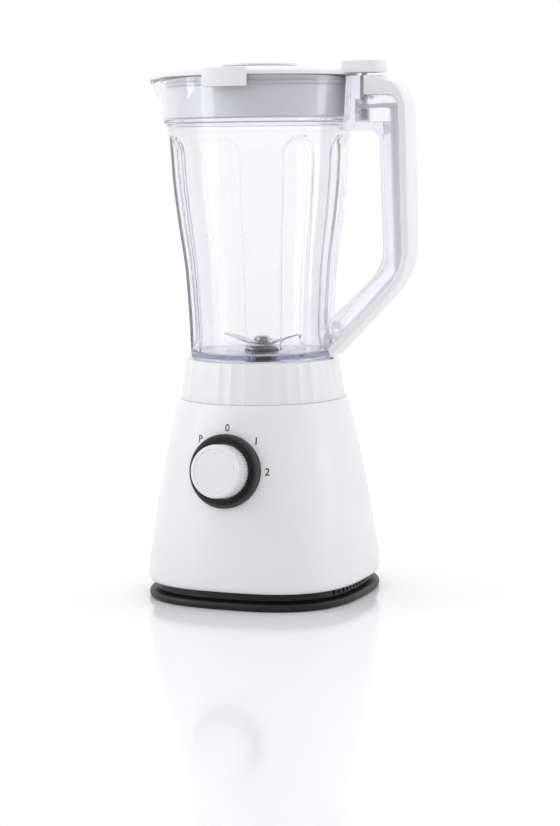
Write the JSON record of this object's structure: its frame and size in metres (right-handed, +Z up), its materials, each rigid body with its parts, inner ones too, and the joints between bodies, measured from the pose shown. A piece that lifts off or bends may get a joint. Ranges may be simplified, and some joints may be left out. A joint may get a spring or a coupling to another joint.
{
  "type": "countertop blender",
  "caption": "Countertop blender: tapered motor base with a front rotary switch, clear jug with handle and spout, blade unit, and lid with a filler cap.",
  "frame": {"origin": "on the blade axis, where it meets the table", "axes": "+Z up, the knob faces -Y, the handle points to +X and the spout to -X"},
  "size_m": [0.2136, 0.1831, 0.4016],
  "materials": {
    "white_abs": "white moulded ABS, satin",
    "dark_abs": "charcoal moulded ABS, fine texture",
    "clear_plastic": "clear moulded SAN plastic, polished",
    "black_nylon": "black moulded nylon",
    "bakelite": "brown phenolic moulding",
    "carbon": "pressed carbon",
    "rubber": "moulded rubber",
    "white_silicone": "translucent white silicone",
    "stainless": "ground stainless steel",
    "zinc_steel": "zinc-plated pressed steel",
    "core_steel": "stacked steel laminations, varnished",
    "copper": "enamelled copper winding"
  },
  "bodies": {
    "base": {"housing": "white_abs", "top_collar": "white_abs", "base_plate": "dark_abs", "knob_bezel": "dark_abs", "cord_inlet": "dark_abs", "switch_body": "black_nylon", "interlock_microswitch": "black_nylon", "brush_holder_left": "bakelite", "brush_holder_right": "bakelite", "carbon_brush_left": "carbon", "carbon_brush_right": "carbon", "drip_seal": "rubber", "rubber_foot_1": "rubber", "rubber_foot_2": "rubber", "rubber_foot_3": "rubber", "rubber_foot_4": "rubber", "motor_damper_1": "rubber", "motor_damper_2": "rubber", "motor_damper_3": "rubber", "motor_damper_4": "rubber", "base_screw_1": "zinc_steel", "base_screw_2": "zinc_steel", "base_screw_3": "zinc_steel", "base_screw_4": "zinc_steel", "motor_screw_1": "zinc_steel", "motor_screw_2": "zinc_steel", "motor_screw_3": "zinc_steel", "motor_screw_4": "zinc_steel", "upper_bearing": "stainless", "lower_bearing": "stainless", "motor_upper_bracket": "zinc_steel", "motor_lower_bracket": "zinc_steel", "stator_core": "core_steel", "field_coil_left": "copper", "field_coil_right": "copper"},
    "rotor": {"motor_shaft": "stainless", "armature_core": "core_steel", "commutator": "copper", "cooling_fan": "black_nylon", "drive_coupling": "black_nylon"},
    "knob": {"knob": "white_abs", "knob_spindle": "zinc_steel"},
    "interlock_button": {"interlock_button": "black_nylon"},
    "jug": {"jug": "clear_plastic", "handle_frame": "clear_plastic", "handle_cover": "white_abs", "blade_bearing_housing": "stainless", "blade_seal": "rubber", "blade_locknut": "black_nylon", "interlock_spring": "zinc_steel"},
    "blade_unit": {"blade_upper": "stainless", "blade_lower": "stainless", "blade_shaft": "stainless", "blade_cap_nut": "stainless", "jug_coupling": "black_nylon"},
    "interlock_slider": {"interlock_slider": "white_abs"},
    "lid": {"lid": "white_abs", "lid_seal": "white_silicone"},
    "filler_cap": {"filler_cap": "white_abs"}
  },
  "joints": [
    {"name": "jug_lift", "type": "slide", "parent": "base", "child": "jug", "axis": [0, 0, 1], "range_m": [0, 0.06]},
    {"name": "lid_lift", "type": "slide", "parent": "jug", "child": "lid", "axis": [0, 0, 1], "range_m": [0, 0.05]},
    {"name": "filler_cap_lift", "type": "slide", "parent": "lid", "child": "filler_cap", "axis": [0, 0, 1], "range_m": [0, 0.04]},
    {"name": "interlock_rise", "type": "slide", "parent": "jug", "child": "interlock_slider", "axis": [0, 0, 1], "range_m": [0, 0.003], "deforming": ["interlock_spring"]},
    {"name": "interlock_button_rise", "type": "slide", "parent": "base", "child": "interlock_button", "axis": [0, 0, 1], "range_m": [0, 0.003]},
    {"name": "rotor_spin", "type": "hinge", "parent": "base", "child": "rotor", "pos_m": [0, 0, 0.1], "axis": [0, 0, 1], "continuous": true},
    {"name": "blade_spin", "type": "hinge", "parent": "jug", "child": "blade_unit", "pos_m": [0, 0, 0.19], "axis": [0, 0, 1], "continuous": true},
    {"name": "knob_turn", "type": "hinge", "parent": "base", "child": "knob", "pos_m": [0, -0.07357, 0.1023], "axis": [0, -0.9903, 0.1392], "range_deg": [-90, 45]}
  ],
  "couplings": [
    {"joint": "interlock_rise", "follows": "lid_lift", "ratio": 0.06},
    {"joint": "interlock_button_rise", "follows": "lid_lift", "ratio": 0.06},
    {"joint": "blade_spin", "follows": "rotor_spin", "ratio": 1}
  ]
}
